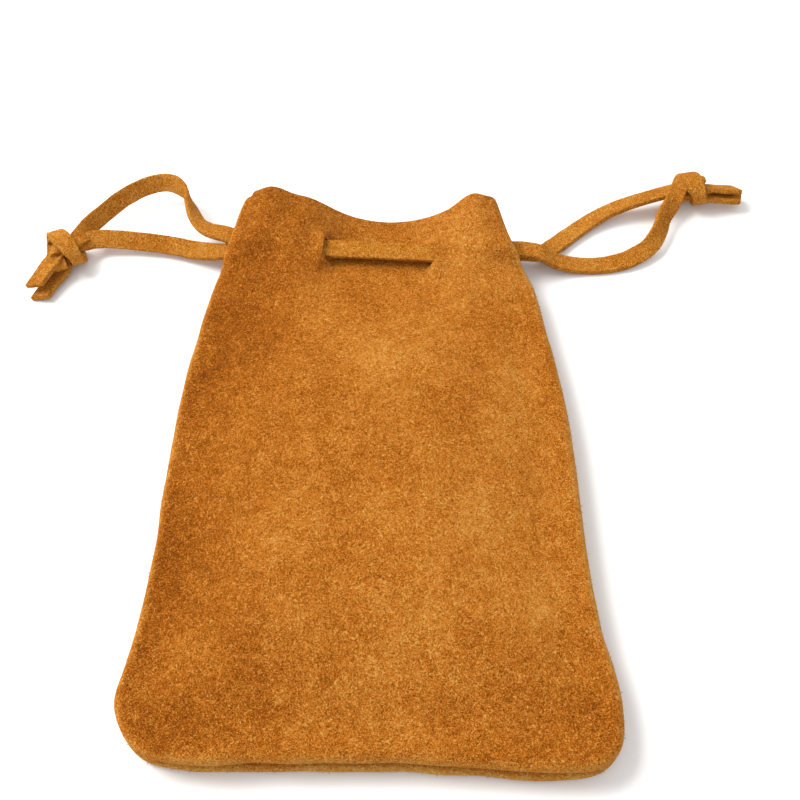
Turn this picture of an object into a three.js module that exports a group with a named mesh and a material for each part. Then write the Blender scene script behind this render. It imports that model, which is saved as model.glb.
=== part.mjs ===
// Suede drawstring pouch, lying on its back with its mouth towards +Y.
// Two panels are sewn face to face and turned, so every seam is inside and every edge is a soft roll.
// Two flat suede laces run round the neck through slits, each knotted where its own two ends come out.
// Millimetres. The origin is under the middle of the pouch, on the surface it lies on.
import * as THREE from 'three';

// ---- Driving dimensions ----------------------------------------------------------------------------

const LENGTH = 142; // bottom edge to mouth
const LEATHER = 1.1; // thickness of a panel
const LACE_WIDTH = 5;
const LACE_THICK = 1.2;
const THREAD = 0.5; // diameter of the sewing thread
const GAP = 0.3; // air between pieces that touch

const SEAM_Z = 3.9; // height of the seam between the two panels
const ROLL = 1.2; // radius, to the middle of the leather, of the turned edge
const ROLL_INSET = ROLL + LEATHER / 2; // from the outermost line to the centre of the roll
const STITCH_INSET = 2.9; // from the outermost line to the stitches
const ALLOWANCE_INSET = 6.6; // from the outermost line to the cut edge of the turned-in allowance
const FACE_INSET = 7; // where the flat of the panel starts
const SEAM_TOP_Y = 52; // the side seams stop here, and the laces leave above

const LACE_LINE_Y = 57.1; // where the laces cross the middle of the pouch
const LACE_LINE_SLOPE = -0.06; // the gathered neck lies a little askew
const SLIT_X = [-12.6, 14.6]; // the two lace slits of each panel
const SLIT_GAPE = 2.9; // half the stretch of slit held fully open by the laces
const SLIT_HALF = 4; // half the length of a slit
const LIP_X = 0.5; // how far each lip of a slit stands from its line

// The empty pouch lies a little askew. These are how far parts of its outline are moved from the pattern.
const NECK_DRAWN_IN = { left: 1.3, right: 3.7 };
const SIDE_DRAWN_IN = { left: 0.4, right: 1.2 };
const CORNER_DRAWN_IN = { left: 1, right: -1.2 };
const BOTTOM_RAISED = { left: 1.5, right: -0.5 };

// Half of the pouch seen from above: distance from its middle line, and from its bottom edge.
const HALF_OUTLINE = [
  [0, 0], [22, 0], [36, 0.3], [43.6, 1.8], [47.7, 5.4], [49.8, 12.5], [48.9, 20],
  [47.3, 29], [46.2, 42], [45.8, 62], [45, 85], [42.8, 107], [38.8, 130], [35.2, LENGTH],
];
const CORNER_UP = 5.4; // the outline point where the side turns into the bottom

const smooth = THREE.MathUtils.smoothstep;
const mix = THREE.MathUtils.lerp;
const bell = (distance, width) => Math.exp(-((distance / width) ** 2));
const laceLine = (x) => LACE_LINE_Y + LACE_LINE_SLOPE * x;

// ---- Outline ---------------------------------------------------------------------------------------

const outline = new THREE.CatmullRomCurve3(
  HALF_OUTLINE.map(([x, up]) => new THREE.Vector3(x, up - LENGTH / 2, 0)), false, 'centripetal',
);

// The fraction of the half outline at height y. The outline only rises, so halving finds it.
function outlineAt(y) {
  let low = 0;
  let high = 1;
  for (let step = 0; step < 40; step += 1) {
    const middle = (low + high) / 2;
    if (outline.getPointAt(middle).y < y) low = middle;
    else high = middle;
  }
  return low;
}

// A point of the outline and the direction into the pouch there, on the right (+1) or left (-1).
function edgeStation(fraction, side) {
  const point = outline.getPointAt(fraction);
  const tangent = outline.getTangentAt(fraction);
  const level = smooth(point.y, -45, -20); // up the sides, inwards is level
  const inward = new THREE.Vector2(mix(-tangent.y, -1, level), mix(tangent.x, 0, level)).normalize();
  return { x: side * point.x, y: point.y, inX: side * inward.x, inY: inward.y };
}

const inset = (station, by) => [station.x + station.inX * by, station.y + station.inY * by];

// Where a point of the pattern ends up on the pouch as it lies.
function settle(x, y) {
  const side = x > 0 ? 'right' : 'left';
  const outward = smooth(Math.abs(x), 16, 38);
  const neck = smooth(y, 44, 62) * (NECK_DRAWN_IN[side] - SIDE_DRAWN_IN[side]);
  const corner = (1 - smooth(y, -68, -57)) * CORNER_DRAWN_IN[side];
  const drawnIn = smooth(y, 0, 45) * SIDE_DRAWN_IN[side] + neck + corner;
  const raised = mix(BOTTOM_RAISED.left, BOTTOM_RAISED.right, smooth(x, 5, 40));
  const low = 1 - smooth(y, -LENGTH / 2, -45);
  return [x - Math.sign(x) * outward * drawnIn, y + low * raised];
}

// Distance from a point of the face to the nearest sewn edge.
const edgeSamples = Array.from({ length: 121 }, (_, i) => outline.getPointAt(i / 120));
function edgeDistance(x, y) {
  return Math.min(...edgeSamples.map((point) => Math.hypot(point.x - Math.abs(x), point.y - y)));
}

// ---- Panel heights ---------------------------------------------------------------------------------

const ALLOWANCE_MIDDLE = GAP / 2 + LEATHER / 2; // middle of the allowance, from the seam
const ROLL_REACH = ALLOWANCE_MIDDLE + 2 * ROLL; // middle of the leather over the roll, from the seam
const SIDE_LIFT = 3.2; // how far the front edge is lifted where the laces leave
const MOUTH_LIFT = 1.4; // how much further it is lifted at the mouth

const frontLift = (y) => SIDE_LIFT * smooth(y, SEAM_TOP_Y, SEAM_TOP_Y + 5)
  + MOUTH_LIFT * smooth(y, 61, LENGTH / 2);
const noLift = () => 0;

// Between the slits a panel is pressed to one level by the laces outside it. Beyond the slits it
// stands at another, over the laces inside. `side` is -1 between the slits, 1 beyond and 0 on their line.
function laced(plain, x, y, side, between, beyond) {
  const along = 1 - smooth(Math.abs(y - laceLine(x)), 3.6, 10);
  const nearest = Math.min(...SLIT_X.map((slit) => Math.abs(x - slit)));
  const inner = mix(plain, between, along);
  const outer = mix(plain, beyond, along * bell(nearest, 6));
  return mix(inner, outer, (side + 1) / 2);
}

// An ear of the mouth: a ridge with its own spread towards the middle of the pouch and towards its side.
function ear(x, crest, tall, inner, outer) {
  const fromCrest = x - crest;
  return tall * bell(fromCrest, fromCrest * crest < 0 ? inner : outer);
}

// The front swells over the body and stands up in two ears at the mouth.
function frontHeight(x, y, depth, side) {
  const edge = SEAM_Z + ROLL_REACH + frontLift(y) * (1 - smooth(depth, FACE_INSET, 16));
  const swell = 4.6 * smooth(depth, 3, 36) * (1 - smooth(y, 18, 50));
  const valley = -0.8 * bell(depth - 8, 5) * (1 - smooth(y, 30, 50));
  const rise = smooth(y, 24, LENGTH / 2);
  const ears = rise * (ear(x, -20.5, 7.6, 10, 15) + ear(x, 23.5, 4.2, 7, 12));
  const dip = -2.5 * bell(x - 3.5, 12) * smooth(y, 40, LENGTH / 2);
  return laced(edge + swell + valley + ears + dip, x, y, side, 6.3, 11.2);
}

// The back lies flat on the surface, and rides up over the laces outside it.
function backHeight(x, y, depth, side) {
  const flat = LEATHER / 2;
  const edge = SEAM_Z - ROLL_REACH;
  const plain = mix(edge, flat, smooth(depth, 2, 9));
  return laced(plain, x, y, side, 4.9, flat);
}

// ---- Panels ----------------------------------------------------------------------------------------

const SLIT_ROWS = [SLIT_HALF, SLIT_GAPE, 0, -SLIT_GAPE, -SLIT_HALF].map((from) => LACE_LINE_Y + from);
const ROWS_Y = [
  LENGTH / 2, 67.5, 64.3, ...SLIT_ROWS, 49, 44, 38, 30, 19, 6, -8, -22, -35, -47, -56, -62,
  CORNER_UP - LENGTH / 2,
];
const CORNER = outlineAt(CORNER_UP - LENGTH / 2);
const ROLL_STEPS = 5;

// Column places, 0 at the left and 1 at the right, with one column on each slit.
function columnPlaces() {
  const half = outline.getPointAt(outlineAt(LACE_LINE_Y)).x - FACE_INSET;
  const stops = [0, ...SLIT_X.map((x) => (x / half + 1) / 2), 1];
  const between = 4;
  const places = [0];
  for (let stop = 1; stop < stops.length; stop += 1) {
    for (let step = 1; step <= between; step += 1) {
      places.push(mix(stops[stop - 1], stops[stop], step / between));
    }
  }
  return places;
}

// The middle surface of a panel as points and four-sided cells. `up` is 1 for the front, -1 for the back.
function panelSurface(up, height, lift) {
  const points = [];
  const cells = [];
  const add = (x, y, z) => points.push(new THREE.Vector3(...settle(x, y), z)) - 1;
  const places = columnPlaces();
  const slitColumns = SLIT_X.map((_, slit) => 4 * (slit + 1));
  const lastRow = ROWS_Y.length - 1;
  const lastColumn = places.length - 1;

  const bottomStations = places.map((place) => {
    const along = 2 * place - 1;
    return edgeStation(Math.abs(along) * CORNER, Math.sign(along) || 1);
  });
  const sideStations = ROWS_Y.map((y) => edgeStation(outlineAt(y), 1));
  const cornerY = inset(sideStations[lastRow], FACE_INSET)[1];

  // The flat of the panel: one grid, split into two lips along each slit.
  const grid = ROWS_Y.map((_, row) => places.map((place, column) => {
    const [halfWidth, rowY] = inset(sideStations[row], FACE_INSET);
    const [bottomX, bottomY] = inset(bottomStations[column], FACE_INSET);
    const bottom = Math.max(0, 1 - (rowY - cornerY) / 55) ** 2;
    const x = mix((2 * place - 1) * halfWidth, bottomX, bottom);
    const level = rowY + bottom * (bottomY - cornerY);
    const neck = smooth(level, 30, 50) * (1 - smooth(level, 62, 70));
    const y = level + LACE_LINE_SLOPE * x * neck;
    const depth = edgeDistance(x, y);
    const between = x > SLIT_X[0] && x < SLIT_X[1] ? -1 : 1;
    if (!slitColumns.includes(column)) {
      const vertex = add(x, y, height(x, y, depth, between));
      return [vertex, vertex];
    }
    const inSlit = Math.abs(ROWS_Y[row] - LACE_LINE_Y) < SLIT_HALF - 0.01;
    if (!inSlit) {
      const vertex = add(x, y, height(x, y, depth, 0));
      return [vertex, vertex];
    }
    const leftSide = column === slitColumns[0] ? 1 : -1;
    return [
      add(x - LIP_X, y, height(x, y, depth, leftSide)),
      add(x + LIP_X, y, height(x, y, depth, -leftSide)),
    ];
  }));
  for (let row = 0; row < lastRow; row += 1) {
    for (let column = 0; column < lastColumn; column += 1) {
      cells.push([
        grid[row][column][1], grid[row + 1][column][1],
        grid[row + 1][column + 1][0], grid[row][column + 1][0],
      ]);
    }
  }

  // The edge: a band from the flat, over the roll and back in as the seam allowance.
  const left = ROWS_Y.map((y, row) => ({
    station: edgeStation(outlineAt(y), -1), vertex: grid[row][0][0],
  }));
  const bottom = bottomStations.map((station, column) => ({ station, vertex: grid[lastRow][column][0] }));
  const right = ROWS_Y.map((_, row) => ({
    station: sideStations[row], vertex: grid[row][lastColumn][0],
  })).reverse();
  const around = [...left, ...bottom.slice(1, -1), ...right];
  let ring = around.map(({ vertex }) => vertex);
  const extend = (depth, levelAt) => {
    const next = around.map(({ station }) => {
      const [x, y] = inset(station, depth);
      return add(x, y, levelAt(x, y));
    });
    for (let i = 1; i < ring.length; i += 1) cells.push([ring[i - 1], next[i - 1], next[i], ring[i]]);
    ring = next;
  };
  const fromSeam = (reach) => (x, y) => SEAM_Z + up * (reach + lift(y));
  extend(4.2, (x, y) => height(x, y, 4.2, 1));
  for (let step = 0; step <= ROLL_STEPS; step += 1) {
    const turn = Math.PI * (step / ROLL_STEPS);
    extend(ROLL_INSET - ROLL * Math.sin(turn), fromSeam(ROLL_REACH - ROLL + ROLL * Math.cos(turn)));
  }
  extend(4.2, fromSeam(ALLOWANCE_MIDDLE));
  extend(ALLOWANCE_INSET, fromSeam(ALLOWANCE_MIDDLE));
  return { points, cells };
}

// A closed solid of even thickness around a surface of four-sided cells.
function thicken({ points, cells }, thickness) {
  const normals = points.map(() => new THREE.Vector3());
  for (const cell of cells) {
    const across = new THREE.Vector3().subVectors(points[cell[2]], points[cell[0]]);
    const over = new THREE.Vector3().subVectors(points[cell[3]], points[cell[1]]);
    const normal = across.cross(over).normalize();
    for (const vertex of cell) normals[vertex].add(normal);
  }
  const count = points.length;
  const positions = [];
  for (const side of [1, -1]) {
    points.forEach((point, i) => {
      const moved = normals[i].clone().setLength(side * thickness / 2).add(point);
      positions.push(moved.x, moved.y, moved.z);
    });
  }
  const index = [];
  const quad = (a, b, c, d) => index.push(a, b, c, a, c, d);
  const edges = new Set(cells.flatMap((cell) => cell.map((a, i) => `${a} ${cell[(i + 1) % 4]}`)));
  for (const cell of cells) {
    const [a, b, c, d] = cell;
    quad(a, b, c, d);
    index.push(a + count, c + count, b + count, a + count, d + count, c + count);
    cell.forEach((from, i) => {
      const to = cell[(i + 1) % 4];
      if (!edges.has(`${to} ${from}`)) quad(to, from, from + count, to + count);
    });
  }
  const geometry = new THREE.BufferGeometry();
  geometry.setAttribute('position', new THREE.Float32BufferAttribute(positions, 3));
  geometry.setIndex(index);
  geometry.computeVertexNormals();
  return geometry;
}

// ---- Laces and thread ------------------------------------------------------------------------------

// A smooth route that also says which way a flat strip on it faces: `across` is the direction of the
// strip's width at each of its points.
class Route extends THREE.CatmullRomCurve3 {
  constructor(points, across) {
    super(points, false, 'centripetal');
    this.across = across;
  }

  computeFrenetFrames(steps) {
    const frames = { tangents: [], normals: [], binormals: [] };
    for (let step = 0; step <= steps; step += 1) {
      const fraction = step / steps;
      const tangent = this.getTangentAt(fraction);
      const place = this.getUtoTmapping(fraction) * (this.across.length - 1);
      const before = Math.min(Math.floor(place), this.across.length - 2);
      const width = this.across[before].clone().lerp(this.across[before + 1], place - before);
      const normal = width.addScaledVector(tangent, -width.dot(tangent)).normalize();
      frames.tangents.push(tangent);
      frames.normals.push(normal);
      frames.binormals.push(new THREE.Vector3().crossVectors(tangent, normal));
    }
    return frames;
  }
}

function laceSection() {
  const w = LACE_WIDTH / 2;
  const t = LACE_THICK / 2;
  const corner = 0.25; // the cut corners are worn a little round
  return new THREE.Shape([
    [w, -t + corner], [w, t - corner], [w - corner, t], [-w + corner, t],
    [-w, t - corner], [-w, -t + corner], [-w + corner, -t], [w - corner, -t],
  ].map(([x, y]) => new THREE.Vector2(x, y)));
}

function strip(route, stepLength) {
  const steps = Math.max(2, Math.round(route.getLength() / stepLength));
  return new THREE.ExtrudeGeometry(laceSection(), { steps, extrudePath: route });
}

// Round the neck a lace keeps its width along the pouch.
function threadedLace(route) {
  const points = route.map(([x, y, z]) => new THREE.Vector3(x, y, z));
  return strip(new Route(points, points.map(() => new THREE.Vector3(0, 1, 0))), 3);
}

// A free stretch of lace: x, y, z and how many degrees its face is turned up from lying flat.
function freeLace(route) {
  const points = route.map(([x, y, z]) => new THREE.Vector3(x, y, z));
  const across = route.map(([, , , turn], i) => {
    const before = points[Math.max(i - 1, 0)];
    const after = points[Math.min(i + 1, points.length - 1)];
    const level = new THREE.Vector3(before.y - after.y, after.x - before.x, 0).normalize();
    const angle = THREE.MathUtils.degToRad(turn);
    return level.multiplyScalar(Math.cos(angle)).setZ(Math.sin(angle));
  });
  return strip(new Route(points, across), 4);
}

// The whole route of each lace inside and through the neck, from one end at the side to the other.
const LEFT_THREADED = [
  [-38.2, 65.2, 6.25], [-34.6, 63.4, 6.15], [-31.2, 61.6, 6.1], [-28.4, 61.2, 7.5], [-25.4, 61.4, 9.4],
  [-22, 61.2, 9.7], [-19.5, 59.6, 9.3], [-17, 58.2, 9.25], [-14, 57.9, 9.25], [-10, 57.7, 9.25],
  [0, 57.1, 9.25], [10, 56.5, 9.25], [14.5, 56.2, 9.2], [17.5, 55.5, 8.9], [20.5, 54.3, 8.5],
  [23.4, 53.2, 8.4], [25.6, 53, 8.1], [27.2, 53, 7.2], [27.7, 53, 5.4], [27.2, 53, 3.6],
  [25.6, 53, 2.4], [23.2, 53.3, 2.15], [20.4, 54.3, 2.05], [17.5, 55.6, 2], [15.5, 56.2, 2],
  [13, 56.3, 1.5], [10.2, 56.5, 0.75], [7, 56.7, 0.65], [0, 57.1, 0.65], [-5, 57.4, 0.65],
  [-8.2, 57.6, 0.75], [-11, 57.8, 1.5], [-14, 57.9, 2], [-17, 58.4, 1.95], [-19.5, 59.8, 1.95],
  [-22, 60.8, 2], [-25.4, 60.8, 2.2], [-28.4, 60.5, 4], [-31.4, 60.3, 4.7], [-38.3, 60.9, 4.7],
];
const RIGHT_THREADED = [
  [38.5, 60, 6.3], [35, 60.3, 6.25], [31, 60.9, 6.2], [28.4, 61.1, 6.4], [26.9, 61.2, 7.3],
  [25.4, 61.3, 8.15], [23.4, 61.3, 8.5], [21.4, 60.9, 8.1], [19.4, 59.7, 7.3], [17, 57.6, 7.2],
  [14.5, 56.5, 7.6],
  [10, 56.5, 7.75], [0, 57.4, 7.75], [-9, 57.9, 7.75], [-13.2, 57.6, 7.75], [-17, 55.8, 7.65],
  [-20, 53.6, 7.9], [-22, 52.8, 8.6], [-25.4, 52.6, 8.8], [-28, 52.5, 7.8], [-28.9, 52.5, 5.6],
  [-28, 52.5, 3.2], [-25.4, 52.5, 2.15], [-22.6, 52.6, 2.15], [-20.6, 53.2, 2.9], [-19, 54, 3.5],
  [-17, 55.5, 3.5], [-14, 57.4, 3.5], [-11, 57.7, 3], [-8.2, 57.6, 2.3], [-5, 57.4, 2.2],
  [0, 57.1, 2.2], [7, 56.7, 2.2], [10.2, 56.5, 2.3], [13, 56.4, 3], [15.5, 57, 3.5],
  [18, 58.9, 3.5], [19.4, 60, 3.3], [21, 60.8, 2.35], [23.4, 61, 2.1], [25.4, 61, 2.15],
  [26.9, 61, 3.9], [28, 61, 4.75], [30.4, 60.9, 4.8], [38.6, 60.5, 4.75],
];

// The free ends: from the side of the pouch to the knot, and the tails beyond it.
const LEFT_UPPER = [
  [-38.8, 65.5, 6.3, 0], [-41.5, 66.6, 6, 4], [-44.7, 68.4, 5.6, 18], [-47.4, 71.6, 5.6, 42],
  [-49.2, 76, 6, 62], [-51.4, 81, 6.4, 95], [-56, 84.4, 6.2, 120], [-62, 83.8, 5.6, 128],
  [-68, 79.6, 5.2, 130], [-72.4, 74.2, 5, 130], [-75.6, 69.6, 5, 128],
];
const LEFT_LOWER = [
  [-39, 61, 4.65, 0], [-42, 61.6, 3.9, -8], [-47, 63, 2.9, -22], [-53, 64.8, 2.6, -30],
  [-60, 65.9, 2.8, -34], [-67, 66.4, 3.2, -34], [-73.9, 66, 3.8, -30],
];
const LEFT_TAIL_FRONT = [[-82.6, 58.4, 5, 12], [-84.4, 54.4, 4.6, 18], [-86.6, 49.6, 4, 20]];
const LEFT_TAIL_BACK = [[-81.6, 57.2, 1.5, -8], [-84, 52.4, 1, -6], [-86.2, 47.4, 0.9, -4]];
const RIGHT_UPPER = [
  [39.3, 60.5, 4.7, 0], [41.2, 60.7, 4.1, 0], [43.6, 62.5, 2.4, 0], [47.6, 66.4, 1.3, 0],
  [52, 70.4, 1.1, -4], [57, 74.4, 1.4, -10], [62.6, 77.6, 2.4, -14], [69, 79.6, 3.8, -16],
  [77, 81.9, 4.6, -14],
];
const RIGHT_LOWER = [
  [38.9, 60, 6.3, 0], [42.4, 59.5, 5.8, 0], [46.5, 59.2, 3.2, 0], [52, 59.2, 1.4, 0],
  [60, 59.6, 1, 4], [66.6, 61.4, 1.6, 14], [71.8, 64.6, 2.6, 30], [75, 69.4, 3.4, 42],
  [76.8, 74.2, 4, 46], [78.9, 77.6, 4.3, 40],
];
const RIGHT_TAIL_FRONT = [[89.6, 81.4, 3.4, 26], [94.4, 81.2, 2.8, 28], [99, 81.6, 2.2, 24]];
const RIGHT_TAIL_BACK = [[89.4, 85.4, 4.6, -50], [93.6, 85.8, 4.2, -52], [97.8, 86.2, 3.8, -52]];

// A pulled-tight overhand knot in a doubled lace, as one rounded lump.
const LEFT_KNOT = { at: [-79, 62.8, 4.3], reach: [4.6, 5.4, 4.2], turn: -25 };
const RIGHT_KNOT = { at: [83.8, 82.6, 4.4], reach: [5.4, 5, 4.3], turn: 4 };

function knotLump({ at, reach, turn }) {
  const geometry = new THREE.SphereGeometry(1, 16, 10);
  geometry.scale(...reach);
  geometry.rotateZ(THREE.MathUtils.degToRad(turn));
  geometry.translate(...at);
  return geometry;
}

// One thread of the lockstitch, lying on the seam allowance inside the roll.
function seamThread(side) {
  const z = SEAM_Z + side * (GAP / 2 + LEATHER + GAP + THREAD / 2);
  const top = outlineAt(SEAM_TOP_Y - 2);
  const stations = 32;
  const points = [];
  for (let i = -stations; i <= stations; i += 1) {
    const fraction = (Math.abs(i) / stations) * top;
    const [x, y] = inset(edgeStation(fraction, Math.sign(i) || 1), STITCH_INSET);
    points.push(new THREE.Vector3(...settle(x, y), z));
  }
  const route = new Route(points, points.map(() => new THREE.Vector3(0, 0, 1)));
  const sides = 6;
  const section = new THREE.Shape(Array.from({ length: sides }, (_, i) => new THREE.Vector2(
    (THREAD / 2) * Math.cos((2 * Math.PI * i) / sides), (THREAD / 2) * Math.sin((2 * Math.PI * i) / sides),
  )));
  return new THREE.ExtrudeGeometry(section, { steps: 2 * stations, extrudePath: route });
}

// ---- Assembly --------------------------------------------------------------------------------------

const suede = new THREE.MeshStandardMaterial({ color: 0xc4742a, roughness: 0.95, metalness: 0 });
const laceSuede = new THREE.MeshStandardMaterial({ color: 0xca7c2f, roughness: 0.9, metalness: 0 });
const polyester = new THREE.MeshStandardMaterial({ color: 0xb06a2c, roughness: 0.6, metalness: 0 });

const pouch = new THREE.Group();

function place(name, geometry, material) {
  const mesh = new THREE.Mesh(geometry, material);
  mesh.name = name;
  pouch.add(mesh);
}

place('front_panel', thicken(panelSurface(1, frontHeight, frontLift), LEATHER), suede);
place('back_panel', thicken(panelSurface(-1, backHeight, noLift), LEATHER), suede);
place('needle_thread', seamThread(1), polyester);
place('bobbin_thread', seamThread(-1), polyester);
place('left_lace', threadedLace(LEFT_THREADED), laceSuede);
place('left_lace_upper_end', freeLace(LEFT_UPPER), laceSuede);
place('left_lace_lower_end', freeLace(LEFT_LOWER), laceSuede);
place('left_lace_knot', knotLump(LEFT_KNOT), laceSuede);
place('left_lace_front_tail', freeLace(LEFT_TAIL_FRONT), laceSuede);
place('left_lace_back_tail', freeLace(LEFT_TAIL_BACK), laceSuede);
place('right_lace', threadedLace(RIGHT_THREADED), laceSuede);
place('right_lace_upper_end', freeLace(RIGHT_UPPER), laceSuede);
place('right_lace_lower_end', freeLace(RIGHT_LOWER), laceSuede);
place('right_lace_knot', knotLump(RIGHT_KNOT), laceSuede);
place('right_lace_front_tail', freeLace(RIGHT_TAIL_FRONT), laceSuede);
place('right_lace_back_tail', freeLace(RIGHT_TAIL_BACK), laceSuede);

export default pouch;
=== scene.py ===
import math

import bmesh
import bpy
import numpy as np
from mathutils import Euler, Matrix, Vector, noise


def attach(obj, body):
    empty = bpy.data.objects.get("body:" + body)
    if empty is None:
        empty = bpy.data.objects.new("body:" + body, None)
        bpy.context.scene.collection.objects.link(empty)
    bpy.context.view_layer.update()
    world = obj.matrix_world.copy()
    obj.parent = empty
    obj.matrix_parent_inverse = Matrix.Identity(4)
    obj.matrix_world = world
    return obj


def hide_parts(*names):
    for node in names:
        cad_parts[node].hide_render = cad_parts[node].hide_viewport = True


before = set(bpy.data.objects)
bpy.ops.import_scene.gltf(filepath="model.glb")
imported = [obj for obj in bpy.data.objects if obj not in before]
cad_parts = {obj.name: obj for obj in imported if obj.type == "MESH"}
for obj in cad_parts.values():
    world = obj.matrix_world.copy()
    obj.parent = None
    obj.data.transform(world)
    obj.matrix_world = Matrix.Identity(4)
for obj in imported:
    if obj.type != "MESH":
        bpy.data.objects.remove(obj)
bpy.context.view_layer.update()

# A suede drawstring pouch that lies on its back. Two panels of soft split leather are sewn face to
# face and turned, so each edge is a fat roll. Two flat suede laces run round the neck through slits,
# and each is knotted where its own two ends come out at the side.
# The frame's axes: +X to the pouch's right, +Y to its mouth, +Z up. The surface it lies on is Z = 0.

# ---- Sizes -----------------------------------------------------------------------------------------
# The pouch's own shape is worked out in millimetres, as its maker would measure it.

MM = 0.001
LENGTH = 142  # bottom edge to mouth
LEATHER = 1.1  # thickness of a panel
LACE_WIDTH = 5
LACE_THICK = 1.2
THREAD = 0.5  # diameter of the sewing thread
STITCH = 2.6  # length of one stitch
GAP = 0.3  # air between pieces that touch
FIBRE_LENGTH = (0.4, 0.9)  # shortest and longest loose fibre of the nap
FIBRE_RADIUS = 0.07  # of such a fibre at its root, since fibres cling together in twos and threes

SEAM_Z = 3.1  # height of the seam between the two panels
FRONT_EDGE_Z = 7  # height of the front panel over its turned edge, to the middle of the leather
BACK_EDGE_Z = 0.7  # the same for the back panel
FRONT_SHY = 0.6  # how far the front's turned edge stays inside the back's along the bottom
STITCH_INSET = 3.2  # from the outermost line to the stitches
ALLOWANCE_INSET = 6.2  # from the outermost line to the cut edge of the turned-in allowance
FACE_INSET = 7  # where the flat of the panel starts
ALLOWANCE_MIDDLE = GAP / 2 + LEATHER / 2  # middle of the allowance, from the seam
SEAM_TOP_Y = 52  # the side seams stop here, and the laces leave above
SIDE_LIFT = 3.2  # how far the front edge is lifted where the laces leave
MOUTH_LIFT = 1.4  # how much further it is lifted at the mouth
EAR_EDGE = 2.6  # how much of the ears reaches the turned edge at the mouth
OPEN_SIDE_Z = 4.6  # height of the front's turned-in allowance where the sides are open, less the lift

LACE_LINE_Y = 57.1  # where the laces cross the middle of the pouch
LACE_LINE_SLOPE = -0.06  # the gathered neck lies a little askew
SLIT_X = (-12.6, 14.6)  # the two lace slits of each panel
SLIT_HALF = 2.8  # half the length of a slit
LIP_X = 0.35  # how far each lip of a slit stands from its line
STRIP_Z = 7  # between the slits, a lace above this height is the strip that crosses the front
FRONT_PRESSED_Z = 6.3  # the front between the slits, under the strip
FRONT_RAISED_Z = 10.9  # the front beyond the slits, over the laces inside
BACK_RAISED_Z = 4.9  # the back between the slits, over the laces that cross behind it

# The empty pouch lies a little askew. These are how far parts of its outline are moved from the
# pattern, on the left and on the right.
NECK_DRAWN_IN = (1.3, 3.7)
SIDE_DRAWN_IN = (0.4, 1.2)
CORNER_DRAWN_IN = (1, -1.2)
BOTTOM_RAISED = (1.5, -0.5)

# Half of the pouch seen from above: distance from its middle line, and from its bottom edge.
HALF_OUTLINE = [
    (0, 0), (22, 0), (36, 0.3), (43.6, 1.8), (47.7, 5.4), (49.8, 12.5), (48.9, 20),
    (47.3, 29), (46.2, 42), (45.8, 62), (45, 85), (42.8, 107), (38.8, 130), (35.2, LENGTH),
]

# ---- Lace routes, in metres ------------------------------------------------------------------------
# Round the neck a lace keeps its width along the pouch.

LEFT_THREADED = [
    (-0.0312, 0.0616, 0.0061), (-0.0284, 0.0612, 0.0075), (-0.0254, 0.0614, 0.0094),
    (-0.022, 0.0612, 0.0097), (-0.0195, 0.0596, 0.0093), (-0.017, 0.0582, 0.00925),
    (-0.014, 0.0579, 0.00925), (-0.01, 0.0577, 0.00925), (0, 0.0571, 0.00925),
    (0.01, 0.0565, 0.00925), (0.0145, 0.0562, 0.0092), (0.0175, 0.0555, 0.0089),
    (0.0205, 0.0543, 0.0085), (0.0234, 0.0532, 0.0084), (0.0256, 0.053, 0.0081),
    (0.0272, 0.053, 0.0072), (0.0277, 0.053, 0.0054), (0.0272, 0.053, 0.0036),
    (0.0256, 0.053, 0.0024), (0.0232, 0.0533, 0.00215), (0.0204, 0.0543, 0.00205),
    (0.0175, 0.0556, 0.002), (0.0155, 0.0562, 0.002), (0.013, 0.0563, 0.0015),
    (0.0102, 0.0565, 0.00075), (0.007, 0.0567, 0.00065), (0, 0.0571, 0.00065),
    (-0.005, 0.0574, 0.00065), (-0.0082, 0.0576, 0.00075), (-0.011, 0.0578, 0.0015),
    (-0.014, 0.0579, 0.002), (-0.017, 0.0584, 0.00195), (-0.0195, 0.0598, 0.00195),
    (-0.022, 0.0608, 0.002), (-0.0254, 0.0608, 0.0022), (-0.0284, 0.0605, 0.004),
    (-0.0314, 0.0603, 0.0047),
]
RIGHT_THREADED = [
    (0.031, 0.0609, 0.0062), (0.0284, 0.0611, 0.0064),
    (0.0269, 0.0612, 0.0073), (0.0254, 0.0613, 0.00815),
    (0.0234, 0.0613, 0.0085), (0.0214, 0.0609, 0.0081), (0.0194, 0.0597, 0.0073),
    (0.017, 0.0576, 0.0072), (0.0145, 0.0565, 0.0076), (0.01, 0.0565, 0.00775),
    (0, 0.0574, 0.00775), (-0.009, 0.0579, 0.00775), (-0.0132, 0.0576, 0.00775),
    (-0.017, 0.0558, 0.00765), (-0.02, 0.0536, 0.0079), (-0.022, 0.0528, 0.0086),
    (-0.0254, 0.0526, 0.0088), (-0.028, 0.0525, 0.0078), (-0.0289, 0.0525, 0.0056),
    (-0.028, 0.0525, 0.0032), (-0.0254, 0.0525, 0.00215), (-0.0226, 0.0526, 0.00215),
    (-0.0206, 0.0532, 0.0029), (-0.019, 0.054, 0.0035), (-0.017, 0.0555, 0.0035),
    (-0.014, 0.0574, 0.0035), (-0.011, 0.0577, 0.003), (-0.0082, 0.0576, 0.0023),
    (-0.005, 0.0574, 0.0022), (0, 0.0571, 0.0022), (0.007, 0.0567, 0.0022),
    (0.0102, 0.0565, 0.0023), (0.013, 0.0564, 0.003), (0.0155, 0.057, 0.0035),
    (0.018, 0.0589, 0.0035), (0.0194, 0.06, 0.0033), (0.021, 0.0608, 0.00235),
    (0.0234, 0.061, 0.0021), (0.0254, 0.061, 0.00215), (0.0269, 0.061, 0.0039),
    (0.028, 0.061, 0.00475), (0.0304, 0.0609, 0.0048),
]

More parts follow.
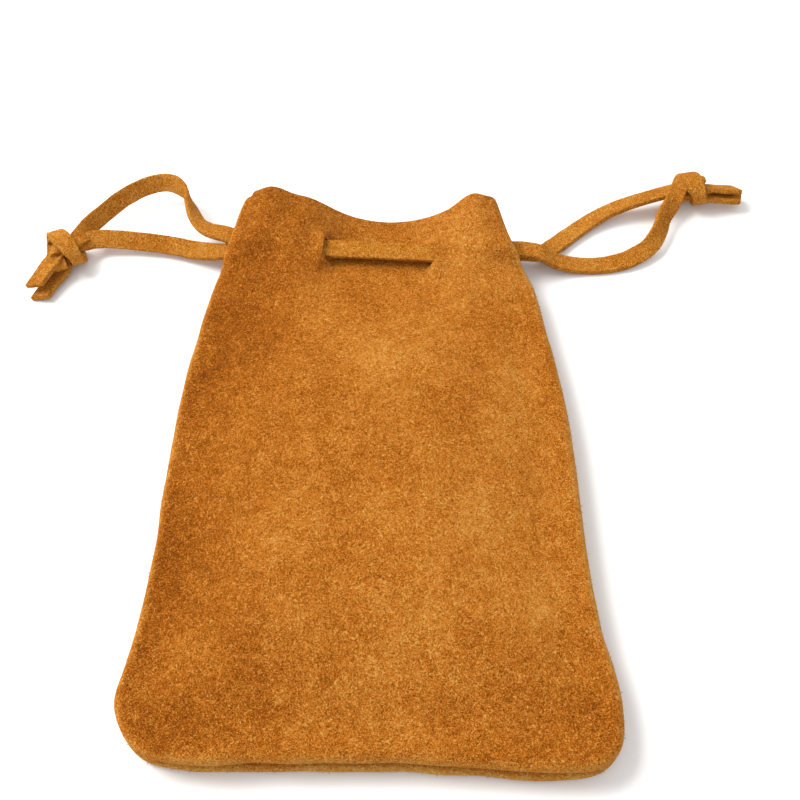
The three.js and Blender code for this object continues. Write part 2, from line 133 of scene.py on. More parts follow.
# The free ends, from under the edge of the pouch: a place, and how many degrees the lace's face is
# turned up from lying flat.
LEFT_UPPER = [
    (-0.0312, 0.0616, 0.0061, 0), (-0.0346, 0.0634, 0.00615, 0), (-0.0388, 0.0655, 0.0063, 0),
    (-0.0415, 0.0666, 0.006, 4), (-0.0447, 0.0684, 0.0056, 18), (-0.0474, 0.0716, 0.0056, 42),
    (-0.0492, 0.076, 0.006, 62), (-0.0514, 0.081, 0.0064, 95), (-0.056, 0.0844, 0.0062, 120),
    (-0.062, 0.0838, 0.0056, 128), (-0.068, 0.0796, 0.0052, 130), (-0.0724, 0.0742, 0.005, 130),
    (-0.0756, 0.0696, 0.005, 128),
]
LEFT_LOWER = [
    (-0.0314, 0.0603, 0.0047, 0), (-0.036, 0.0606, 0.0047, 0), (-0.039, 0.061, 0.00465, 0),
    (-0.042, 0.0616, 0.0039, -8), (-0.047, 0.063, 0.0029, -22), (-0.053, 0.0648, 0.0026, -30),
    (-0.06, 0.0659, 0.0028, -34), (-0.067, 0.0664, 0.0032, -34), (-0.0739, 0.066, 0.0038, -30),
]
RIGHT_UPPER = [
    (0.0304, 0.0609, 0.0048, 0), (0.036, 0.0606, 0.00475, 0), (0.0393, 0.0605, 0.0047, 0),
    (0.0412, 0.0607, 0.0041, 0), (0.0436, 0.0625, 0.0024, 0), (0.0476, 0.0664, 0.0013, 0),
    (0.052, 0.0704, 0.0011, -4), (0.057, 0.0744, 0.0014, -10), (0.0626, 0.0776, 0.0024, -14),
    (0.069, 0.0796, 0.0038, -16), (0.077, 0.0819, 0.0046, -14),
]
RIGHT_LOWER = [
    (0.031, 0.0609, 0.0062, 0), (0.035, 0.0603, 0.00625, 0), (0.0389, 0.06, 0.0063, 0),
    (0.0424, 0.0595, 0.0058, 0), (0.0465, 0.0592, 0.0032, 0), (0.052, 0.0592, 0.0014, 0),
    (0.06, 0.0596, 0.001, 4), (0.0666, 0.0614, 0.0016, 14), (0.0718, 0.0646, 0.0026, 30),
    (0.075, 0.0694, 0.0034, 42), (0.0768, 0.0742, 0.004, 46), (0.0789, 0.0776, 0.0043, 40),
]
LEFT_TAIL_FRONT = [
    (-0.0828, 0.0588, 0.0046, 10), (-0.0846, 0.0548, 0.0044, 14), (-0.0868, 0.0502, 0.0036, 16),
]
LEFT_TAIL_BACK = [
    (-0.0812, 0.0578, 0.0019, 12), (-0.0836, 0.053, 0.0014, 14), (-0.0856, 0.0482, 0.0012, 16),
]
RIGHT_TAIL_FRONT = [
    (0.0896, 0.0822, 0.0036, -10), (0.0944, 0.082, 0.003, -14), (0.099, 0.0822, 0.0026, -14),
]
RIGHT_TAIL_BACK = [
    (0.0894, 0.0835, 0.0048, -26), (0.0936, 0.0836, 0.0045, -28), (0.0978, 0.0838, 0.0042, -28),
]

# ---- Lines and bands -------------------------------------------------------------------------------


def smooth_line(rows, spacing):
    """A centripetal Catmull-Rom line through rows of numbers, the first three of them a place, as
    even steps of about `spacing`."""
    rows = np.array(rows, float)
    rows = np.vstack([2 * rows[0] - rows[1], rows, 2 * rows[-1] - rows[-2]])
    fine = []
    for p0, p1, p2, p3 in zip(rows, rows[1:], rows[2:], rows[3:]):
        chords = [np.linalg.norm((b - a)[:3]) ** 0.5 for a, b in ((p0, p1), (p1, p2), (p2, p3))]
        t0, t1, t2, t3 = np.cumsum([0, *chords])
        t = np.linspace(t1, t2, 16, endpoint=False)[:, None]
        a = ((t1 - t) * p0 + (t - t0) * p1) / (t1 - t0)
        b = ((t2 - t) * p1 + (t - t1) * p2) / (t2 - t1)
        c = ((t3 - t) * p2 + (t - t2) * p3) / (t3 - t2)
        ab = ((t2 - t) * a + (t - t0) * b) / (t2 - t0)
        bc = ((t3 - t) * b + (t - t1) * c) / (t3 - t1)
        fine.extend(((t2 - t) * ab + (t - t1) * bc) / (t2 - t1))
    fine = np.array([*fine, rows[-2]])
    steps = np.linalg.norm(np.diff(fine[:, :3], axis=0), axis=1)
    along = np.concatenate([[0], np.cumsum(steps)])
    at = np.linspace(0, along[-1], max(2, round(along[-1] / spacing)) + 1)
    return np.stack([np.interp(at, along, column) for column in fine.T], axis=1)


def line_length(line):
    return float(np.linalg.norm(np.diff(line[:, :3], axis=0), axis=1).sum())


def smooth(value, low, high):
    t = min(max((value - low) / (high - low), 0), 1)
    return t * t * (3 - 2 * t)


def mix(a, b, t):
    return a + (b - a) * t


def bell(distance, width):
    return math.exp(-((distance / width) ** 2))


def with_width(route, way=1):
    """A free route's rows with the direction of the lace's width: x, y, z, then that direction, then
    the share of its full width that the lace keeps. `way` is -1 where the lace lies face down."""
    rows = []
    for i, (x, y, z, turn) in enumerate(route):
        before, after = route[max(i - 1, 0)], route[min(i + 1, len(route) - 1)]
        across = Vector((before[1] - after[1], after[0] - before[0], 0)).normalized()
        angle = math.radians(turn)
        across = across * math.cos(angle) + Vector((0, 0, math.sin(angle)))
        rows.append((x, y, z, *across * way, 1))
    return rows


# ---- Colours and materials -------------------------------------------------------------------------


def linear(code):
    """An sRGB hex colour as linear RGBA."""
    parts = [int(code[i:i + 2], 16) / 255 for i in (1, 3, 5)]
    return (*[c / 12.92 if c <= 0.04045 else ((c + 0.055) / 1.055) ** 2.4 for c in parts], 1)


def add_node(material, kind, inputs=(), **settings):
    """A node with its settings; each input is a value, or the output socket that feeds it."""
    node = material.node_tree.nodes.new(kind)
    for name, value in settings.items():
        setattr(node, name, value)
    for name, value in dict(inputs).items():
        if isinstance(value, bpy.types.NodeSocket):
            material.node_tree.links.new(value, node.inputs[name])
        else:
            node.inputs[name].default_value = value
    return node


def new_material(name):
    material = bpy.data.materials.new(name)
    material.use_nodes = True
    material.node_tree.nodes.clear()
    return material


def per_metre(size_mm):
    """The scale that makes a pattern's features about size_mm wide."""
    return 1 / (size_mm * MM)


def ramp(material, factor, stops):
    node = add_node(material, "ShaderNodeValToRGB", {"Fac": factor})
    elements = node.color_ramp.elements
    while len(elements) < len(stops):
        elements.new(1)
    for element, (position, colour) in zip(elements, stops):
        element.position = position
        element.color = linear(colour)
    return node.outputs["Color"]


def noise_texture(material, vector, size_mm, detail, distortion=0):
    return add_node(material, "ShaderNodeTexNoise", {
        "Vector": vector, "Scale": per_metre(size_mm), "Detail": detail, "Roughness": 0.55,
        "Distortion": distortion,
    }).outputs["Fac"]


def remap(material, value, low, high, to_low=0, to_high=1):
    return add_node(material, "ShaderNodeMapRange", {
        "Value": value, "From Min": low, "From Max": high, "To Min": to_low, "To Max": to_high,
    }).outputs["Result"]


def add(material, first, second):
    return add_node(material, "ShaderNodeMath", {0: first, 1: second}, operation="ADD").outputs[0]


PATCH = 16  # mm, the patches in which the hide took its dye lighter or darker
CLUMP = 3.2  # mm, the clumps that handling rubs the nap into
NAP_DEPTH = 0.4  # mm, from the tips of the curls to the leather between them


def suede(name, dark, middle, light, curl_mm, nap_mm, streaks):
    """Split cowhide, buffed to a nap on its face. The cut fibres lie in small curls that catch the
    light along their backs and are dark between, and no part of it is glossy. `streaks` is how much of the
    nap is drawn out along the piece, as on a strip cut from the hide."""
    material = new_material(name)
    coordinates = add_node(material, "ShaderNodeTexCoord")
    place = coordinates.outputs["Object"]
    # Each remap takes a pattern's own range and says what that adds to the nap or to its shade.
    backs = add_node(material, "ShaderNodeMath", {
        0: noise_texture(material, place, 1.3 * curl_mm, 1, 1), 1: 0.5,
    }, operation="PINGPONG").outputs[0]
    lit_backs = remap(material, backs, 0.44, 0.5, -0.05, 0.35)
    curls = remap(material, noise_texture(material, place, curl_mm, 2, 2.2), 0.3, 0.7, -0.1, 0.6)
    fibres = remap(material, noise_texture(material, place, nap_mm, 1, 3), 0.34, 0.66, -0.05, 0.35)
    nap = add(material, add(material, curls, lit_backs), fibres)
    if streaks:
        drawn = add_node(material, "ShaderNodeMapping", {
            "Vector": coordinates.outputs["UV"], "Scale": (0.4, 1, 1),
        }).outputs["Vector"]
        nap = add(material, nap, remap(
            material, noise_texture(material, drawn, nap_mm, 1), 0.3, 0.7, -streaks, streaks))
    patches = remap(material, noise_texture(material, place, PATCH, 2), 0.3, 0.7, -0.08, 0.08)
    clumps = remap(material, noise_texture(material, place, CLUMP, 2), 0.3, 0.7, -0.06, 0.06)
    # This attribute holds painted shade and painted light, with a painted highlight along the turned edges.
    painted_shading = add_node(material, "ShaderNodeAttribute", attribute_name="painted_light_and_shade").outputs["Fac"]
    shade = add(material, add(material, patches, clumps), painted_shading)
    colour = ramp(material, add(material, nap, shade), [(0.05, dark), (0.5, middle), (1, light)])
    bump = add_node(material, "ShaderNodeBump", {
        "Height": nap, "Strength": 1, "Distance": NAP_DEPTH * MM,
    }).outputs["Normal"]
    shader = add_node(material, "ShaderNodeBsdfPrincipled", {
        "Base Color": colour, "Roughness": 0.95, "Specular IOR Level": 0.1, "Sheen Weight": 0.35,
        "Sheen Roughness": 0.4, "Sheen Tint": linear("#FFA428"), "Normal": bump,
    })
    add_node(material, "ShaderNodeOutputMaterial", {"Surface": shader.outputs["BSDF"]})
    return material


def twisted_polyester():
    """Sewing thread, dyed to match the leather: a little shiny, with the twist of its plies."""
    material = new_material("twisted_polyester")
    coordinates = add_node(material, "ShaderNodeTexCoord").outputs["UV"]
    plies = add_node(material, "ShaderNodeTexWave", {
        "Vector": coordinates, "Scale": per_metre(6), "Distortion": 0.4,
    }, bands_direction="DIAGONAL").outputs["Fac"]
    colour = ramp(material, plies, [(0, "#8A4E1C"), (1, "#C07A36")])
    bump = add_node(material, "ShaderNodeBump", {
        "Height": plies, "Strength": 0.6, "Distance": 0.05 * MM,
    }).outputs["Normal"]
    shader = add_node(material, "ShaderNodeBsdfPrincipled", {
        "Base Color": colour, "Roughness": 0.55, "Normal": bump,
    })
    add_node(material, "ShaderNodeOutputMaterial", {"Surface": shader.outputs["BSDF"]})
    return material


# ---- Meshes ----------------------------------------------------------------------------------------


def finish_piece(name, bm, material, modifiers=()):
    """Turn a bmesh into a piece on the pouch, with its live modifiers as (name, type, settings)."""
    for face in bm.faces:
        face.smooth = True
    mesh = bpy.data.meshes.new(name)
    bm.to_mesh(mesh)
    bm.free()
    mesh.materials.append(material)
    piece = bpy.data.objects.new(name, mesh)
    bpy.context.scene.collection.objects.link(piece)
    for label, kind, settings in modifiers:
        modifier = piece.modifiers.new(label, kind)
        for key, value in settings.items():
            setattr(modifier, key, value)
    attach(piece, "root")
    return piece


def thickness(value, crisp):
    """Even thickness, its cut edges kept as crisp as `crisp` says, from 0 to 1."""
    return ("thickness", "SOLIDIFY", {
        "thickness": value * MM, "offset": 0, "edge_crease_inner": crisp, "edge_crease_outer": crisp,
    })


ROUNDED = ("rounding", "SUBSURF", {"levels": 1, "render_levels": 1})


def place_grid(columns, rows):
    """A flat grid whose corners remember their column and row, from the top left."""
    bm = bmesh.new()
    bmesh.ops.create_grid(bm, x_segments=columns, y_segments=rows, size=1, calc_uvs=True)
    column, row = bm.verts.layers.int.new("column"), bm.verts.layers.int.new("row")
    for vert in bm.verts:
        vert[column] = round((vert.co.x + 1) / 2 * columns)
        vert[row] = round((1 - vert.co.y) / 2 * rows)
    return bm, column, row


LACE_COLUMNS = 8
WORN = 0.1  # mm, how unevenly the cut edges are worn
BUCKLE = 0.12  # mm, how far the lace buckles out of flat
CUT_REACH = 3  # mm, how far from an end its slanted cut is felt


def ribbon(name, rows, material, seed, cut=(0, 0)):
    """A lace along rows of place, width direction and share of width. `cut` slants its two ends."""
    line = smooth_line(rows, 0.5 * MM)
    places, across, share = line[:, :3], line[:, 3:6], line[:, 6]
    along = np.concatenate([[0], np.cumsum(np.linalg.norm(np.diff(places, axis=0), axis=1))])
    tangent = np.gradient(places, axis=0)
    tangent /= np.linalg.norm(tangent, axis=1)[:, None]
    across = across - (across * tangent).sum(1)[:, None] * tangent
    across /= np.linalg.norm(across, axis=1)[:, None]
    bm, column, row = place_grid(LACE_COLUMNS, len(line) - 1)
    uv = bm.loops.layers.uv.verify()
    for vert in bm.verts:
        i = vert[row]
        side = 2 * vert[column] / LACE_COLUMNS - 1
        worn = WORN * MM * noise.noise(Vector((along[i] / (2.5 * MM), side * 3, seed)))
        half = (LACE_WIDTH * MM / 2 - 0.15 * MM) * share[i] + worn
        normal = Vector(np.cross(tangent[i], across[i]))
        buckle = BUCKLE * MM * noise.noise(Vector((along[i] / (4 * MM), side, seed + 7)))
        at_start = 1 - smooth(along[i], 0, CUT_REACH * MM)
        at_end = smooth(along[i], along[-1] - CUT_REACH * MM, along[-1])
        slant = cut[0] * at_start + cut[1] * at_end
        place = Vector(places[i]) + Vector(across[i]) * side * half + Vector(tangent[i]) * side * slant
        vert.co = place + normal * buckle
    for face in bm.faces:
        for loop in face.loops:
            side = loop.vert[column] / LACE_COLUMNS
            loop[uv].uv = (side * LACE_WIDTH * MM, along[loop.vert[row]])
    return finish_piece(name, bm, material, [thickness(LACE_THICK, 0.75), ROUNDED]), line


# ---- Outline and heights of the panels, in millimetres ---------------------------------------------

OUTLINE = smooth_line([(x, up - LENGTH / 2, 0) for x, up in HALF_OUTLINE], 0.25)
OUTLINE_STEP = line_length(OUTLINE) / (len(OUTLINE) - 1)


def along_at(y):
    """How far along the half outline it reaches height y."""
    return float(np.searchsorted(OUTLINE[:, 1], y) * OUTLINE_STEP)


def edge_station(along):
    """A point of the outline and the direction into the pouch there, left of the middle if negative."""
    side = math.copysign(1, along)
    at = min(abs(along) / OUTLINE_STEP, len(OUTLINE) - 1)
    before = min(int(at), len(OUTLINE) - 2)
    x, y, _ = mix(OUTLINE[before], OUTLINE[before + 1], at - before)
    ahead, behind = OUTLINE[min(before + 3, len(OUTLINE) - 1)], OUTLINE[max(before - 2, 0)]
    tangent = Vector((ahead - behind)[:2]).normalized()
    level = smooth(y, -45, -20)  # up the sides, inwards is level
    inward = Vector((mix(-tangent.y, -1, level), mix(tangent.x, 0, level))).normalized()
    return side * x, y, side * inward.x, inward.y


def inset(station, by):
    x, y, in_x, in_y = station
    return x + in_x * by, y + in_y * by


def edge_distance(x, y):
    return float(np.hypot(OUTLINE[:, 0] - abs(x), OUTLINE[:, 1] - y).min())


def settle(x, y):
    """Where a point of the pattern ends up on the pouch as it lies."""
    side = 1 if x > 0 else 0
    outward = smooth(abs(x), 16, 38)
    neck = smooth(y, 44, 62) * (NECK_DRAWN_IN[side] - SIDE_DRAWN_IN[side])
    corner = (1 - smooth(y, -68, -57)) * CORNER_DRAWN_IN[side]
    drawn_in = smooth(y, 0, 45) * SIDE_DRAWN_IN[side] + neck + corner
    raised = mix(*BOTTOM_RAISED, smooth(x, 5, 40))
    low = 1 - smooth(y, -LENGTH / 2, -45)
    return x - math.copysign(1, x) * outward * drawn_in, y + low * raised


def lace_line(x):
    return LACE_LINE_Y + LACE_LINE_SLOPE * x


def front_lift(y):
    return SIDE_LIFT * smooth(y, SEAM_TOP_Y, SEAM_TOP_Y + 5) + MOUTH_LIFT * smooth(y, 61, LENGTH / 2)


def laced(plain, x, y, side, between, beyond):
    """Between the slits a panel is pressed to one level by the laces outside it. Beyond the slits it
    stands at another, over the laces inside."""
    above = y - lace_line(x)
    nearest = min(abs(x - slit) for slit in SLIT_X)
    if side < 0:
        return mix(plain, between, 1 - smooth(above, 3.2, 5.4) if above > 0 else 1 - smooth(-above, 3.2, 9))
    return mix(plain, beyond, (1 - smooth(abs(above), 2.6, 8)) * bell(nearest, 6))


def ear(x, crest, tall, inner, outer):
    """A ridge with its own spread towards the middle of the pouch and towards its side."""
    from_crest = x - crest
    return tall * bell(from_crest, inner if from_crest * crest < 0 else outer)


def front_height(x, y, depth, side):
    """The front swells over the body and stands up in two ears at the mouth."""
    edge = FRONT_EDGE_Z + front_lift(y) * (1 - smooth(depth, FACE_INSET, 16))
    swell = 4.6 * smooth(depth, 3, 36) * (1 - smooth(y, 18, 50))
    valley = -0.8 * bell(depth - 8, 5) * (1 - smooth(y, 30, 50))
    opened = smooth(y, 59, 68)
    left, right = ear(x, -20.5, 7.6, mix(7, 10, opened), 15), ear(x, 23.5, 4.2, mix(5.5, 7, opened), 12)
    ears = smooth(y, 24, LENGTH / 2) * (left + right)
    dip = -2.5 * bell(x - 3.5, 12) * smooth(y, 40, LENGTH / 2)
    slack = 0.5 * smooth(depth, 5, 14) * noise.noise(Vector((x / 13, y / 17, 3)))
    plain = edge + swell + valley + ears + dip + slack
    return laced(plain, x, y, side, FRONT_PRESSED_Z, FRONT_RAISED_Z)


def back_height(x, y, depth, side):
    """The back lies flat, and rides up over the laces outside it."""
    plain = mix(BACK_EDGE_Z, LEATHER / 2, smooth(depth, 2, 9))
    return laced(plain, x, y, side, BACK_RAISED_Z, LEATHER / 2)


def front_edge_z(y):
    """Height of the front over its turned edge, which opens into the ears at the mouth."""
    return FRONT_EDGE_Z + front_lift(y) + EAR_EDGE * smooth(y, 55, LENGTH / 2)


def front_tucked(y):
    """Height of the front's turned-in allowance, to the middle of the leather."""
    return mix(SEAM_Z + ALLOWANCE_MIDDLE, OPEN_SIDE_Z + front_lift(y), smooth(y, 42, SEAM_TOP_Y))


# Painted light, patches drawn lighter: x, y and the width of the place.
PAINTED_LIGHT_PATCHES = [(-15, 34, 3), (7, 34, 3.5), (2, 22, 6), (34, 17, 7), (33, -38, 8), (23, -22, 7), (20, 62, 9)]
PAINTED_LIGHT_STRENGTH = 0.09


def painted_light_and_shade(x, y):
    """Painted shade and painted light: darker over the left flank, the left shoulder, the right side and
    along the bottom and its corners, where those slopes turn from the light, and lighter in a few patches.
    """
    # Painted shade on the slopes that turn from the light.
    left_flank = -0.16 * smooth(-x, 14, 44) * mix(0.55, 1, smooth(y, -66, -20))
    right_flank = -0.05 * smooth(x, 34, 46)
    shoulder = -0.13 * bell(math.hypot(x + 27, (y - 42) / 1.5), 16)
    corners = -0.04 * bell(math.hypot(abs(x) - 42, y + 64), 20) - 0.04 * (1 - smooth(y, -66, -40))
    # Painted light in the listed patches.
    painted_light = sum(PAINTED_LIGHT_STRENGTH * bell(math.hypot(x - at, y - up), wide) for at, up, wide in PAINTED_LIGHT_PATCHES)
    return left_flank + right_flank + shoulder + corners + painted_light


# ---- Panels ----------------------------------------------------------------------------------------

# The grid of a panel's flat: its columns reach the slits and its rows the slits' ends.
COLUMN_STOPS = (0, 22, 42, 64)  # left edge, left slit, right slit, right edge
ROW_STOPS = (0, 12, 22, 40, 84)
ROW_LEVELS = (LENGTH / 2, LACE_LINE_Y + SLIT_HALF, LACE_LINE_Y - SLIT_HALF, 30, 5.4 - LENGTH / 2)
COLUMNS, ROWS = COLUMN_STOPS[-1], ROW_STOPS[-1]
NECK_HALF_WIDTH = inset(edge_station(along_at(LACE_LINE_Y)), FACE_INSET)[0]
COLUMN_PLACES = (-1, SLIT_X[0] / NECK_HALF_WIDTH, SLIT_X[1] / NECK_HALF_WIDTH, 1)
CORNER_ALONG = along_at(ROW_LEVELS[-1])
SLIT_COLUMNS = COLUMN_STOPS[1:3]
SLIT_TOP, SLIT_FOOT = ROW_STOPS[1:3]
ROLL_STEPS = 9  # round the turned edge
FACE_EDGE_DEPTHS = (5.6, 4.4, 3.2)  # rings between the flat and the roll, from the outermost line
ALLOWANCE_DEPTHS = (3, 4.2, 5.2, ALLOWANCE_INSET)  # the same on the turned-in allowance
EDGE_WANDER = 0.35  # how far a hand-turned edge strays from its line
EDGE_LIGHT = 0.3  # painted highlight on the turned edges, where the stretched nap catches the light


def column_place(column):
    """How far across the panel a column is, from -1 at the left to 1 at the right."""
    return float(np.interp(column, COLUMN_STOPS, COLUMN_PLACES))


def row_along(row):
    """How far along the half outline a row meets the side."""
    return along_at(float(np.interp(row, ROW_STOPS, ROW_LEVELS)))


def face_place(column, row):
    """Where a corner of the flat of a panel lies, seen from above."""
    place = column_place(column)
    half_width, row_y = inset(edge_station(row_along(row)), FACE_INSET)
    bottom_x, bottom_y = inset(edge_station(place * CORNER_ALONG), FACE_INSET)
    corner_y = inset(edge_station(CORNER_ALONG), FACE_INSET)[1]
    bottom = max(0, 1 - (row_y - corner_y) / 55) ** 2
    x = mix(place * half_width, bottom_x, bottom)
    level = row_y + bottom * (bottom_y - corner_y)
    neck = smooth(level, 30, 50) * (1 - smooth(level, 62, 70))
    return x, level + LACE_LINE_SLOPE * x * neck


def rim_station(column, row):
    """The outline station that a corner on the rim of the flat belongs to."""
    if column == 0:
        return edge_station(-row_along(row))
    if column == COLUMNS:
        return edge_station(row_along(row))
    return edge_station(column_place(column) * CORNER_ALONG)


def panel(name, shy, height, edge_z, tucked, seed):
    """One panel: its flat, slit for the laces, then the turned edge and the seam allowance. `edge_z` and
    `tucked` are the heights over the turned edge and of the allowance."""
    bm, column, row = place_grid(COLUMNS, ROWS)
    # Painted shade and painted light, kept per corner for the suede's colour.
    painted_shading = bm.verts.layers.float.new("painted_light_and_shade")
    slit_edges = [
        edge for edge in bm.edges
        if all(v[column] in SLIT_COLUMNS and SLIT_TOP <= v[row] <= SLIT_FOOT for v in edge.verts)
        and edge.verts[0][column] == edge.verts[1][column]
    ]
    bmesh.ops.split_edges(bm, edges=slit_edges)
    for vert in bm.verts:
        centre = sum(f.calc_center_median().x for f in vert.link_faces) / len(vert.link_faces)
        vert.co.z = centre - vert.co.x  # which way the leather lies from a lip
    rim = [
        edge for edge in bm.edges
        if edge.is_boundary and (
            all(v[column] == 0 for v in edge.verts) or all(v[column] == COLUMNS for v in edge.verts)
            or all(v[row] == ROWS for v in edge.verts))
    ]
    for vert in bm.verts:
        x, y = face_place(vert[column], vert[row])
        depth = edge_distance(x, y)
        if vert[column] in SLIT_COLUMNS and SLIT_TOP < vert[row] < SLIT_FOOT:
            lean = math.copysign(1, vert.co.z)
            left_slit = vert[column] == SLIT_COLUMNS[0]
            z = height(x, y, depth, -1 if (lean > 0) == left_slit else 1)
            x += lean * LIP_X
        elif vert[column] in SLIT_COLUMNS:
            z = (height(x, y, depth, -1) + height(x, y, depth, 1)) / 2
        else:
            z = height(x, y, depth, -1 if SLIT_X[0] < x < SLIT_X[1] else 1)
        vert.co = Vector((x, y, z))

    def extend(ring, place_at):
        made = bmesh.ops.extrude_edge_only(bm, edges=ring)["geom"]
        for vert in (item for item in made if isinstance(item, bmesh.types.BMVert)):
            station = rim_station(vert[column], vert[row])
            depth, z = place_at(station[1])
            uneven = EDGE_WANDER * noise.noise(Vector((station[0] / 9, station[1] / 9, seed)))
            stays_in = shy * (1 - smooth(abs(station[0] - 6), 24, 38))
            x, y = inset(station, stays_in + depth + uneven)
            vert.co = Vector((x, y, height(x, y, depth, 1) if z is None else z))
        return [
            item for item in made
            if isinstance(item, bmesh.types.BMEdge) and len(item.link_faces) == 1
            and all(v in set(made) for v in item.verts)
        ]

    def roll_place(turn):
        def place_at(y):
            radius = (edge_z(y) - tucked(y)) / 2
            depth = abs(radius) * (1 - math.sin(turn)) + LEATHER / 2
            return depth, tucked(y) + radius * (1 + math.cos(turn))
        return place_at

    ring = rim
    for depth in FACE_EDGE_DEPTHS:
        ring = extend(ring, lambda y: (depth, None))
    for step in range(ROLL_STEPS + 1):
        ring = extend(ring, roll_place(math.pi * step / ROLL_STEPS))
    for depth in ALLOWANCE_DEPTHS:
        ring = extend(ring, lambda y: (depth, tucked(y)))
    bmesh.ops.recalc_face_normals(bm, faces=bm.faces)
    for vert in bm.verts:
        # A painted highlight along the turned edges, added to the painted shade and light.
        edge_light = EDGE_LIGHT * (1 - smooth(edge_distance(vert.co.x, vert.co.y), 0.5, 2.2))
        vert[painted_shading] = painted_light_and_shade(vert.co.x, vert.co.y) + edge_light
        x, y = settle(vert.co.x, vert.co.y)
        vert.co = Vector((x, y, vert.co.z)) * MM
    return finish_piece(name, bm, panel_suede, [thickness(LEATHER, 0.5), ROUNDED])


# ---- Camera ----------------------------------------------------------------------------------------

# It looks down on the pouch from beyond its bottom edge, through a normal lens.
camera_data = bpy.data.cameras.new("camera")
camera_data.lens = 47.25  # mm
camera_data.sensor_width = 36  # mm
camera_data.clip_start = 0.01
camera = bpy.data.objects.new("camera", camera_data)
camera.location = (0.0063, -0.1231, 0.2088)
camera.rotation_euler = Euler((math.radians(34), 0, 0))
bpy.context.scene.collection.objects.link(camera)
bpy.context.scene.camera = camera

# ---- Laces -----------------------------------------------------------------------------------------

lace_suede = suede("lace_suede", "#964608", "#F29624", "#FFD880", 0.52, 0.28, 0.12)
panel_suede = suede("panel_suede", "#702E02", "#EC851C", "#FFD878", 0.54, 0.28, 0)
# A lighter copy of the suede for the loose fibres, a painted highlight for light shining through them.
loose_nap_painted_light = suede("loose_nap_painted_light", "#C07828", "#ECAC50", "#FFE0A0", 0.65, 0.34, 0)
thread_polyester = twisted_polyester()


def threaded_rows(route, lean, back, share):
    """A threaded route's rows. Outside the front panel the lace leans `lean` degrees towards the
    bottom, lies `back` mm further up and keeps `share` of its width."""
    rows = []
    for x, y, z in route:
        outside = z > STRIP_Z * MM and SLIT_X[0] < x / MM < SLIT_X[1]
        slope = math.tan(math.radians(lean)) if outside else 0
        rows.append((x, y + (back * MM if outside else 0), z, 0, 1, slope, share if outside else 1))
    return rows


LAYER_LIFT = 0.65  # mm, half the way from one strand to the other where they come into a knot
TURN_LIFT = 0.62  # mm, the same in the knot's turns
KNOT_TALL = 2.75  # mm, half the height of a knot's turns
KNOT_STEPS = 12


def knot_rows(at, heading, girth, layer, way):
    """A pulled-tight overhand knot: in along its axis, out round the far end, one and a quarter turns
    back over itself, and out again under its own turns. `layer` is -1 for the strand that lies inside
    the turns and 1 for the one outside. `way` is -1 where the strand comes in face down. `girth` is
    half the turns' width."""
    axis = Vector((math.cos(heading), math.sin(heading), 0))
    beside = Vector((-axis.y, axis.x, 0))
    up = Vector((0, 0, 1))
    rows = []

    def add(u, v, w, across, share):
        place = Vector(at) + (axis * u + beside * v + up * w) * MM
        width = (axis * across[0] + beside * across[1] + up * across[2]).normalized() * way
        rows.append((*place, *width, share))

    lift = LAYER_LIFT * layer
    add(-2.6, 0.2, 0.3 + lift, (0, 1, 0), 0.9)
    add(0.2, 0.4, 0.1 + lift, (0, 1, 0), 0.8)
    add(2.6, 0.8, -0.2 + lift, (0.2, 1, 0), 0.8)
    for step in range(KNOT_STEPS + 1):
        share = step / KNOT_STEPS
        angle = math.radians(mix(-10, -470, share))
        wide, tall = girth + TURN_LIFT * layer, KNOT_TALL + TURN_LIFT * layer
        squeeze = mix(1, 0.8, smooth(share, 0.8, 1))
        along = mix(2.9, -2.2, smooth(share, 0.05, 0.95))
        folded = mix(1, 0.7, math.cos(angle) ** 2)
        add(along, squeeze * wide * math.cos(angle), squeeze * tall * math.sin(angle), (1, 0, 0.1), folded)
    add(-1.2, -1, -1.2 + 0.3 * layer, (0.3, 1, 0), 0.7)
    add(1.6, -1, -1 + 0.4 * layer, (0, 1, 0), 0.8)
    return rows


def free_end(name, route, knot, tail, layer, way, seed, *nodes):
    """One free end of a lace: from under the edge of the pouch, through its knot, to its cut tail. It
    stands for the CAD solids in `nodes`."""
    rows = with_width(route) + knot_rows(*knot, layer, way) + with_width(tail, way)
    piece, line = ribbon(name, rows, lace_suede, seed, (0, 0.8 * MM * layer))
    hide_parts(*nodes)
    laces.append(piece)


# Where each knot sits, its heading, and how wide its turns are across that.
LEFT_KNOT = ((-0.0808, 0.0622, 0.0046), math.radians(208), 4.9)
RIGHT_KNOT = ((0.0851, 0.0836, 0.0048), math.radians(6), 3.6)

laces = []
free_end("left_upper_strand", LEFT_UPPER, LEFT_KNOT, LEFT_TAIL_FRONT, 1, -1, 1,
         "left_lace_upper_end", "left_lace_knot", "left_lace_front_tail")
free_end("left_lower_strand", LEFT_LOWER, LEFT_KNOT, LEFT_TAIL_BACK, -1, 1, 2,
         "left_lace_lower_end", "left_lace_back_tail")
free_end("right_upper_strand", RIGHT_UPPER, RIGHT_KNOT, RIGHT_TAIL_BACK, -1, 1, 3,
         "right_lace_upper_end", "right_lace_back_tail")
free_end("right_lower_strand", RIGHT_LOWER, RIGHT_KNOT, RIGHT_TAIL_FRONT, 1, 1, 4,
         "right_lace_lower_end", "right_lace_knot", "right_lace_front_tail")

left_neck, _ = ribbon("left_lace_round_neck", threaded_rows(LEFT_THREADED, 12, 0, 1), lace_suede, 5)
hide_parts("left_lace")
right_neck, _ = ribbon("right_lace_round_neck", threaded_rows(RIGHT_THREADED, 7, 0.6, 0.84), lace_suede, 6)
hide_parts("right_lace")
laces.extend((left_neck, right_neck))

# ---- Pouch -----------------------------------------------------------------------------------------

